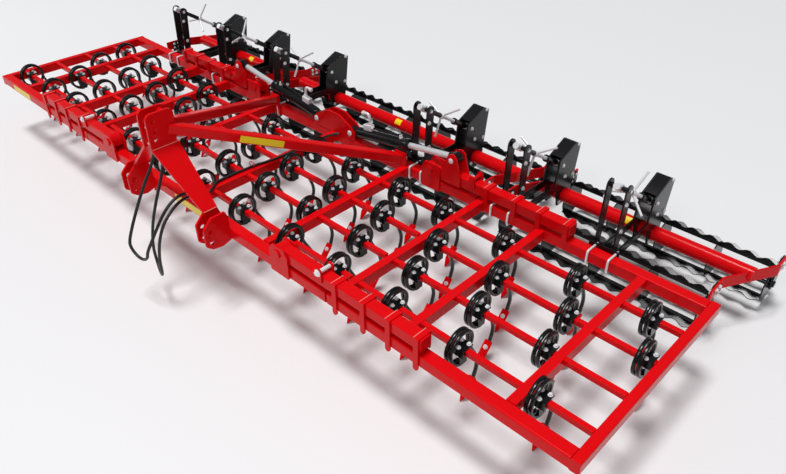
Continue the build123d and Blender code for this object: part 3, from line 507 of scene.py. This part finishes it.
def wavyBar(size, start, length):
    teeth = max(1, round(length / size["tooth"]))
    x = np.linspace(start, start + length, teeth * size["toothSteps"] + 1)
    swing = 1 + np.cos(2 * math.pi * (x - start) * teeth / length)
    wave = size["radius"] - size["deep"] * swing / 2
    foot = np.full(len(x), size["radius"] - size["tall"])
    half, edge = size["thick"] / 2, size["edge"]
    outline = ((-half, foot), (half, foot), (half, wave - edge), (half - edge, wave),
               (edge - half, wave), (-half, wave - edge))
    return skin(np.stack([np.column_stack([x, np.full(len(x), u), r]) for u, r in outline], axis=1))


def rollerParts(size, low, high):
    axis = np.array([0, *((low + high) / 2)[1:]])
    start = low[0] + size["ends"]
    length = high[0] - size["ends"] - start
    corners, faces = wavyBar(size, start, length)
    parts = [bar(axis + (low[0], 0, 0), axis + (high[0], 0, 0), *size["axle"])]
    for angle in 2 * math.pi * np.arange(size["bars"]) / size["bars"]:
        c, s = math.cos(angle), math.sin(angle)
        parts.append((corners @ np.array([xAxis, (0, c, s), (0, -s, c)]) + axis, faces))
    count = max(2, round(length / size["space"]) + 1)
    thick, bore = size["discThick"], size["bore"]
    flat = ((0, bore), *drum(0, thick, size["disc"], size["discEdge"]), (thick, bore))
    hub = drum(-size["hubOut"], thick + size["hubOut"], size["hub"], 1)
    for place in start + (length - thick) * np.arange(count) / (count - 1):
        at = axis + (place, 0, 0)
        parts += [turnedShape(flat, at, xAxis, size["discSides"]),
                  turnedShape(hub, at, xAxis, size["hubSides"])]
    return parts


for section in bodyOf:
    for place in ("front", "rear"):
        low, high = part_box(f"roller_{place}_{section}")
        piece(f"rollerCage_{place}_{section}", rollerParts(rollerSize, drawn(low), drawn(high)),
              blackPaint, f"{place}_roller_{section}", [f"roller_{place}_{section}"])
print("rollers built")

# Gangs: tube, stepped end arms, bearing hangers and their bolts.
gangSize = {
    "y": 1860.0, "z": -165.0, "radius": 47.0, "core": 40.0, "shift": 175.0, "thick": 12.0,
    "tall": 76.0, "edge": 1.5, "sides": 56, "armSteps": 5, "slope": (1690.0, 1990.0),
    "arm": ((0, 1510), (0, 1600), (0, 1670), (12, 1705), (163, 1975), (175, 2010), (175, 2090),
            (175, 2150)),
    "rollers": (1600.0, 2090.0), "axleZ": ground + 150.0, "hangerWide": 74.0,
    "hangerThick": 10.0, "hangerTop": -133.0, "hangerCut": 6.0, "hangerSteps": 15,
    "bearing": ((0, 34), (5, 34), (6, 33)), "bearingSides": 32,
    "bolts": ((-22, -20), (22, -20), (-22, 14), (22, 14)), "head": (9.5, 10.0), "nut": (9.5, 9.0)}


def endArm(size, x):
    line = smoothPath(size["arm"], size["armSteps"]) + (x, 0)
    outline = np.vstack([line, (line + (size["thick"], 0))[::-1]])
    return moved(plate(outline, size["tall"], size["edge"]), (0, 0, size["z"] - size["tall"] / 2))


def hangerShape(size, y):
    half, top, cut = size["hangerWide"] / 2, size["hangerTop"], size["hangerCut"]
    around = np.linspace(math.pi, 2 * math.pi, size["hangerSteps"])
    bowl = np.column_stack([y + half * np.cos(around), size["axleZ"] + half * np.sin(around)])
    return np.vstack([bowl, [(y + half, top - cut), (y + half - cut, top), (y - half + cut, top),
                             (y - half, top - cut)]])


def gangParts(size, left, right):
    thick, deep = size["thick"], size["hangerThick"]
    bent, straight = size["slope"]
    step = size["shift"] * (size["y"] - bent) / (straight - bent) + thick / 2
    ends = right - left
    profile = ((0, size["core"]), *drum(0, ends, size["radius"], 1), (ends, size["core"]))
    frames = [turnedShape(profile, (left + step, size["y"], size["z"]), xAxis, size["sides"])]
    hangers, bolts = [], []
    for x, inner in ((left, 1), (right, -1)):
        frames.append(endArm(size, x))
        for y, shift in zip(size["rollers"], (0, size["shift"])):
            near = x + shift + (thick if inner > 0 else -deep)
            face = near + (deep if inner > 0 else 0)
            outside = x + shift + (0 if inner > 0 else thick)
            inwards, outwards = (inner, 0, 0), (-inner, 0, 0)
            hangers.append(sidePlate(hangerShape(size, y), near, deep))
            hangers.append(turnedShape(size["bearing"], (face, y, size["axleZ"]), inwards,
                                       size["bearingSides"]))
            for dy, dz in size["bolts"]:
                bolts += [headed((outside, y + dy, size["z"] + dz), outwards, *size["head"]),
                          headed((face, y + dy, size["z"] + dz), inwards, *size["nut"])]
    return frames, hangers, bolts


for section, body in bodyOf.items():
    low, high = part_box("gang_" + section)
    right = drawn(high)[0] - gangSize["shift"] - gangSize["thick"]
    frames, hangers, bolts = gangParts(gangSize, drawn(low)[0], right)
    piece("gangFrame_" + section, frames, redPaint, body, ["gang_" + section])
    piece("gangHangers_" + section, hangers, blackPaint, body)
    piece("gangBolts_" + section, bolts, zincPlate, body)
print("gangs built")

# Hand spindles: end cap, black boss, three-armed handle, open thread and black tube.
# thread: r = r0 + deep cos(angle - 2 pi z / lead)
spindleSize = {
    "centre": {-718.0: 84.0, 718.0: 84.0}, "right": {1452.0: 86.0, 2085.0: 44.0},
    "left": {-2085.0: 38.0, -1452.0: 20.0},  # handle's turn in degrees at each place across
    "top": (1350.0, 365.0), "foot": (1800.0, 75.0), "rod": 11.0, "deep": 1.1, "lead": 12.0,
    "threadStep": 3.0, "threadSides": 20, "screw": 365.0, "screwEnd": 6.0,
    "cap": (-50, -20, 20, 2), "eye": (-16, 16, 22, 1, 2), "boss": ((18, 14), (20, 16)),
    "bossEnd": 15.0, "tube": 19.0, "tubeEnd": 22.0, "collar": (-4.0, 17.0, 23.0),
    "handle": 208.0, "hubHalf": 16.0, "hub": 19.0, "hubSides": 28, "arms": 3, "root": 12,
    "reach": 142.0, "wire": (7.5, 16, 3), "sides": 32}
(topY, topZ), (footY, footZ) = spindleSize["top"], spindleSize["foot"]
spindleRun = np.array([0, footY - topY, footZ - topZ])
runLength = np.linalg.norm(spindleRun)


def threadPart(size):
    end = size["screw"] + size["screwEnd"]
    levels = np.arange(size["handle"], end, size["threadStep"])[:, None]
    angles = 2 * math.pi * np.arange(size["threadSides"]) / size["threadSides"]
    radius = size["rod"] + size["deep"] * np.cos(angles - 2 * math.pi * levels / size["lead"])
    return skin(np.stack([radius * np.cos(angles), radius * np.sin(angles),
                          np.broadcast_to(levels, radius.shape)], axis=-1))


def handleArms(size, first):
    arms, level = [], np.array([0, 0, size["handle"]])
    for turn in first + 360 / size["arms"] * np.arange(size["arms"]):
        out = np.array([math.cos(math.radians(turn)), math.sin(math.radians(turn)), 0])
        arms.append(bar(out * size["root"] + level, out * size["reach"] + level, *size["wire"]))
    return arms


def onSpindle(parts, x):
    return [turned(part, (x, topY, topZ), spindleRun, xAxis) for part in parts]


hubAt, screwEnd, sides = (spindleSize[key] for key in ("handle", "screw", "sides"))
hubHalf, (collarStart, collarEnd, collarRadius) = spindleSize["hubHalf"], spindleSize["collar"]
hubProfile = drum(hubAt - hubHalf, hubAt + hubHalf, spindleSize["hub"], 2)
brightParts = [threadPart(spindleSize), upShape(drum(*spindleSize["cap"]), sides),
               upShape(hubProfile, spindleSize["hubSides"])]
brightParts += [turnedShape(drum(*spindleSize["eye"]), (0, 0, place), xAxis, sides)
                for place in (0, runLength)]
bossProfile = (*spindleSize["boss"], (hubAt - spindleSize["bossEnd"], spindleSize["boss"][-1][1]))
tubeProfile = drum(screwEnd, runLength - spindleSize["tubeEnd"], spindleSize["tube"], 2)
collarProfile = drum(screwEnd + collarStart, screwEnd + collarEnd, collarRadius, 1)
darkParts = [upShape(profile, sides) for profile in (bossProfile, tubeProfile, collarProfile)]

# Carriers: bolts, the sheet that closes the top, and two U-bolts round the rear beam with a plate.
carrierSize = {
    "posts": ((1350, 365), (1334, 290), (1322, -72), (1338, 120)), "postFace": 60,
    "carriers": ((1955, 165), (1800, 75), (1935, -40), (1840, -20), (1815, -205), (1905, -205)),
    "carrierFace": 48, "head": (11, 10), "coverWide": 72,
    "cover": ((1786, 128), (1925, 188), (1931, 188), (1984, 160), (1980, 152), (1928, 179),
              (1789, 119)),
    "loops": {-2085.0: (-2147, -2023), -1452.0: (-1494, -1370), -718.0: (-755, -631),
              718.0: (731, 825), 1452.0: (1390, 1514), 2085.0: (2046, 2170)},
    "loopLine": ((1310, 7), (1270, 7), (1222, 7), (1211, 5), (1206, -6), (1206, -35), (1206, -64),
                 (1211, -75), (1222, -77), (1270, -77), (1310, -77)),
    "loop": (6.5, 12), "loopSteps": 4, "nutY": 1294, "nutZ": (7, -77), "nut": (10, 9),
    "footY": 1284, "footZ": -36, "footTall": 116, "footRound": 8, "footThick": 10,
    "footReach": 80, "footEnd": 18}


def carrierBolts(size, x):
    bolts = []
    for place, face in (("posts", size["postFace"]), ("carriers", size["carrierFace"])):
        bolts += [headed((x + out * face, y, z), (out, 0, 0), *size["head"])
                  for y, z in size[place] for out in (1, -1)]
    for at in size["loops"][x]:
        loop = smoothPath([(at, y, z) for y, z in size["loopLine"]], size["loopSteps"])
        bolts.append(sweep(loop, disc(*size["loop"])))
        bolts += [headed((at, size["nutY"], z), yAxis, *size["nut"]) for z in size["nutZ"]]
    return bolts


def carrierPlates(size, x):
    cover = sidePlate(size["cover"], x - size["coverWide"] / 2, size["coverWide"])
    first, second = size["loops"][x]
    left = min(x - size["footReach"], first - size["footEnd"])
    right = max(x + size["footReach"], second + size["footEnd"])
    foot = plate(roundedBox(right - left, size["footTall"], size["footRound"]), size["footThick"])
    return [cover, turned(foot, ((left + right) / 2, size["footY"], size["footZ"]), yAxis, xAxis)]


for section, body in bodyOf.items():
    bright, dark, bolts, plates = [], [], [], []
    for x, first in spindleSize[section].items():
        bright += onSpindle(brightParts + handleArms(spindleSize, first), x)
        dark += onSpindle(darkParts, x)
        bolts += carrierBolts(carrierSize, x)
        plates += carrierPlates(carrierSize, x)
    piece("spindleScrews_" + section, bright, zincPlate, body, ["spindles_" + section])
    piece("spindleTubes_" + section, dark, blackPaint, body)
    piece("carrierBolts_" + section, bolts, zincPlate, body)
    piece("carrierCovers_" + section, plates, blackPaint, body)
print("spindles built")

# Fold cylinders along local z, with local y up: barrel, gland and pipe, and a rod with its eye.
cylinderSize = {
    "base": (172.0, 1249.0, 55.0), "ear": (1080.0, 1249.0, 193.0), "eye": (-22, 22, 34, 2, 3),
    "barrel": ((40, 30), (54, 34), (57, 37), (488, 37), (490, 40), (492, 41), (528, 41), (530, 39),
               (530, 21)),
    "barrelSides": 48, "sides": 40, "neck": (44, 52, 6), "neckLong": 50, "neckFrom": 8,
    "pipeRound": (6, 14), "pipeSteps": 5,
    "pipe": ((56, 186), (55, 206), (52, 240), (52, 340), (53, 420), (60, 442), (58, 453),
             (46, 455)),
    "rodRadius": 20, "rodFrom": 440, "rodEnd": 26, "nut": ((-52, 24), (-50, 26), (-30, 26))}
# Fittings: valve block on the base port, elbow towards the middle, and the port at the gland.
fittingSize = {
    "valve": (38, 42, 4), "valveLong": 70, "valveAt": (0, 55, 122), "elbowRound": (9, 16),
    "elbowSteps": 4, "nutSides": 6, "portSides": 20,
    "elbow": ((74, 176), (100, 176), (128, 176), (145, 170), (152, 154), (152, 134), (152, 118)),
    "nuts": ((((0, 14), (14, 14), (16, 12)), (0, 76, 176), yAxis),
             (((0, 12), (2, 14), (20, 14)), (0, 152, 112), zAxis),
             (((0, 11), (10, 11), (12, 9)), (0, 56, 192), zAxis),
             (((44, 11), (58, 11), (60, 9)), (0, 0, 455), yAxis)),
    "port": ((30, 13), (44, 13), (45, 12)), "portAt": (0, 0, 455)}
cylinderRun = np.array(cylinderSize["ear"]) - np.array(cylinderSize["base"])
cylinderLength = np.linalg.norm(cylinderRun)


def onCylinder(parts, side):
    return sided([turned(part, cylinderSize["base"], cylinderRun, yAxis) for part in parts], side)


def tubeAlong(size, name):
    # round tube along (y, z) points in the cylinder's upright plane
    line = smoothPath([(0, y, z) for y, z in size[name]], size[name + "Steps"])
    return sweep(line, disc(*size[name + "Round"]))


eyeProfile, sides = drum(*cylinderSize["eye"]), cylinderSize["sides"]
neck = plate(roundedBox(*cylinderSize["neck"]), cylinderSize["neckLong"])
valve = plate(roundedBox(*fittingSize["valve"]), fittingSize["valveLong"])
rodProfile = [(place, cylinderSize["rodRadius"])
              for place in (cylinderSize["rodFrom"], cylinderLength - cylinderSize["rodEnd"])]
nutProfile = [(cylinderLength + place, radius) for place, radius in cylinderSize["nut"]]
barrelParts = [upShape(cylinderSize["barrel"], cylinderSize["barrelSides"]),
               turnedShape(eyeProfile, (0, 0, 0), xAxis, sides),
               moved(neck, (0, 0, cylinderSize["neckFrom"])), tubeAlong(cylinderSize, "pipe")]
fittingParts = [moved(valve, fittingSize["valveAt"]), tubeAlong(fittingSize, "elbow"),
                turnedShape(fittingSize["port"], fittingSize["portAt"], yAxis,
                            fittingSize["portSides"])]
fittingParts += [turnedShape(profile, at, axis, fittingSize["nutSides"])
                 for profile, at, axis in fittingSize["nuts"]]
rodParts = [upShape(rodProfile, sides)]
rodEnds = [turnedShape(eyeProfile, (0, 0, cylinderLength), xAxis, sides),
           upShape(nutProfile, sides)]
for side in ("right", "left"):
    piece("barrelShell_" + side, onCylinder(barrelParts, side), blackPaint,
          "cylinder_barrel_" + side, ["barrel_" + side])
    piece("barrelFittings_" + side, onCylinder(fittingParts, side), zincPlate,
          "cylinder_barrel_" + side)
    piece("rodShaft_" + side, onCylinder(rodParts, side), chromePlate,
          "cylinder_rod_" + side, ["rod_" + side])
    piece("rodEye_" + side, onCylinder(rodEnds, side), blackPaint,
          "cylinder_rod_" + side)
print("cylinders built")

# Bright pins and bolts: lock pins, heads of the cylinders' pins, and the mast's bolt.
pinSize = {
    "lock": (1237.0, 118.0), "lockEnds": (-20, 90), "lockRod": (11.6, 24, 2), "lockFace": -12,
    "lockHead": (17, 12), "earFace": 55, "earHead": (14, 8), "baseFace": 45, "baseHead": (16, 9),
    "mast": (52, 432), "mastEnds": (8, 78), "mastRod": (8, 16, 1), "mastHead": (13, 9),
    "mastNut": (13, 10)}


def along(place, ends):
    # two points of a line along y
    return [(place[0], y, place[1]) for y in ends]


(earX, earY, earZ), (baseX, baseY, baseZ) = cylinderSize["ear"], cylinderSize["base"]
lockX, lockZ = pinSize["lock"]
wingPins = [bar(*along(pinSize["lock"], pinSize["lockEnds"]), *pinSize["lockRod"]),
            headed((lockX, pinSize["lockFace"], lockZ), (0, -1, 0), *pinSize["lockHead"]),
            headed((earX, earY - pinSize["earFace"], earZ), (0, -1, 0), *pinSize["earHead"])]
for side in ("right", "left"):
    piece("wingPins_" + side, sided(wingPins, side), zincPlate, "wing_" + side)
basePins = [headed((baseX, baseY + out * pinSize["baseFace"], baseZ), (0, out, 0),
                   *pinSize["baseHead"]) for out in (-1, 1)]
mastFront, mastRear = along(pinSize["mast"], pinSize["mastEnds"])
mastPins = [bar(mastFront, mastRear, *pinSize["mastRod"]),
            headed(mastRear, yAxis, *pinSize["mastNut"]),
            headed(mastFront, (0, -1, 0), *pinSize["mastHead"])]
piece("centrePins", basePins + sided(basePins, "left") + mastPins, zincPlate, "centre_frame")

# Weld beads in a pale pink paint that is a painted highlight, lighter than the red frame: across
# the upper tubes at their straps, and along the folds of the mast's plates.
beadSize = {
    "rod": (2.2, 10, 1), "straps": (1345.0, 1545.0, 1715.0, 1893.0), "strapHalf": 15.5,
    "top": 102.5, "beams": (35.0, 1249.0), "reach": 43.0,
    "folds": (((48.5, 414.5), (-160.0, 8.0)), ((383.0, 127.0), (-104.0, -16.0)))}


def bead(place, ends):
    return bar(*along(place, ends), *beadSize["rod"])


wingHighlightBeads = [bead((x - beadSize["strapHalf"], beadSize["top"]),
                  (y - beadSize["reach"], y + beadSize["reach"]))
             for x in beadSize["straps"] for y in beadSize["beams"]]
for side in ("right", "left"):
    piece("wingHighlightBeads_" + side, sided(wingHighlightBeads, side), beadHighlightPaint, "wing_" + side)
mastHighlightBeads = [bead(place, ends) for place, ends in beadSize["folds"]]
piece("mastHighlightBeads", mastHighlightBeads + sided(mastHighlightBeads, "left"), beadHighlightPaint, "centre_frame")

# Blank labels on the front beams, the right brace and the gang tubes.
labelSize = {
    "thick": 0.6, "edge": 0.2, "round": 3, "beam": (-0.2, -35.0), "centreBeam": (20, 290, 48),
    "leftBeam": (-2380, 300, 46), "brace": (265, 42), "braceFrom": (30.0, -30.0, 505.0),
    "braceTo": (652.0, 1214.0, 42.0), "braceAt": 535.0, "braceOut": 30.0, "tubeThick": 0.5,
    "tubeArc": (105, 160, 9), "centreTube": (10, 60), "leftTube": (-1850, 60),
    "rightTube": (1945, 52)}


def label(middle, wide, tall, direction, up):
    flat = plate(roundedBox(wide, tall, labelSize["round"]), labelSize["thick"], labelSize["edge"])
    return turned(flat, middle, np.cross(direction, up), direction)


def beamLabel(x, wide, tall):
    return label((x, *labelSize["beam"]), wide, tall, xAxis, zAxis)


def braceLabel(size):
    start = np.array(size["braceFrom"])
    run = np.array(size["braceTo"]) - start
    run = run / np.linalg.norm(run)
    level = np.cross(run, zAxis)
    level = level / np.linalg.norm(level)
    middle = start + run * size["braceAt"] + level * size["braceOut"]
    return label(middle, *size["brace"], run, np.cross(level, run))


def tubeLabel(x, wide):
    # patch on the gang tube: radius held, angle from the front over the top
    rings, inner = [], gangSize["radius"]
    outer = inner + labelSize["tubeThick"]
    for angle in np.radians(np.linspace(*labelSize["tubeArc"])):
        ring = ((x, inner), (x + wide, inner), (x + wide, outer), (x, outer))
        rings.append([(place, gangSize["y"] + radius * math.cos(angle),
                       gangSize["z"] + radius * math.sin(angle)) for place, radius in ring])
    return skin(rings)


labels = {
    "centreLabels": ("centre_frame", [beamLabel(*labelSize["centreBeam"]), braceLabel(labelSize),
                                      tubeLabel(*labelSize["centreTube"])]),
    "leftLabels": ("wing_left", [beamLabel(*labelSize["leftBeam"]),
                                 tubeLabel(*labelSize["leftTube"])]),
    "rightLabels": ("wing_right", [tubeLabel(*labelSize["rightTube"])])}
for name, (body, parts) in labels.items():
    piece(name, parts, yellowLabel, body)

# Hydraulic line that lies on the middle bar, and the wire ring round it.
lineSize = {
    "route": ((100, 58, 22), (84, 96, 16), (30, 170, 9), (-16, 240, 9), (-22, 330, 9),
              (-20, 430, 9), (-12, 540, 9), (8, 630, 9), (18, 740, 9), (18, 900, 9), (18, 1060, 9),
              (34, 1160, 10), (60, 1206, 12)),
    "steps": 6, "round": (8, 16), "ring": (-14, 510, 22), "ringRadius": 24, "ringSteps": 41,
    "wire": (2.5, 10)}
barLine = sweep(smoothPath(lineSize["route"], lineSize["steps"]), disc(*lineSize["round"]))
piece("barLine", [barLine], hoseRubber, "centre_frame")
ringTurn = np.linspace(0, 2 * math.pi, lineSize["ringSteps"])
ringRound = np.column_stack([np.cos(ringTurn), np.zeros(len(ringTurn)), np.sin(ringTurn)])
ringPath = lineSize["ring"] + lineSize["ringRadius"] * ringRound
piece("wireRing", [sweep(ringPath, disc(*lineSize["wire"]), yAxis)], redPaint, "centre_frame")
print("small pieces built")

# Studio: pale floor, soft light from above and from the photo's side.
studio = {"floorHalf": 60, "floorColour": (0.80, 0.80, 0.81, 1), "floorRough": 0.9,
          "skyColour": (0.92, 0.94, 0.97, 1), "skyStrength": 0.20}
lamps = {"key": ("AREA", (3.5, -6.0, 7.0), 2.6, 170.0),
         "side": ("AREA", (-8.0, -3.0, 4.0), 2.6, 60.0),
         "top": ("SUN", (-0.8, -0.6, 8.0), math.radians(16), 2.35)}  # place, spread and power
floorMesh = bpy.data.meshes.new("floor")
floorCorners = [(x * studio["floorHalf"], y * studio["floorHalf"], 0)
                for x, y in ((-1, -1), (1, -1), (1, 1), (-1, 1))]
floorMesh.from_pydata(floorCorners, [], [(0, 1, 2, 3)])
floorLook = bpy.data.materials.new("floorLook")
floorLook.use_nodes = True
floorInputs = floorLook.node_tree.nodes["Principled BSDF"].inputs
floorInputs["Base Color"].default_value = studio["floorColour"]
floorInputs["Roughness"].default_value = studio["floorRough"]
floorMesh.materials.append(floorLook)
floor = bpy.data.objects.new("floor", floorMesh)
bpy.context.scene.collection.objects.link(floor)
for name, (kind, place, spread, power) in lamps.items():
    data = bpy.data.lights.new(name, kind)
    data.energy = power
    if kind == "SUN":
        data.angle = spread
    else:
        data.shape = "SQUARE"
        data.size = spread
    lamp = bpy.data.objects.new(name, data)
    lamp.location = place
    lamp.rotation_euler = (-lamp.location).to_track_quat("-Z", "Y").to_euler()
    bpy.context.scene.collection.objects.link(lamp)
world = bpy.data.worlds.new("sky")
world.use_nodes = True
skyInputs = world.node_tree.nodes["Background"].inputs
skyInputs["Color"].default_value = studio["skyColour"]
skyInputs["Strength"].default_value = studio["skyStrength"]
bpy.context.scene.world = world
bpy.context.scene.view_settings.view_transform = "Standard"

print("studio set")
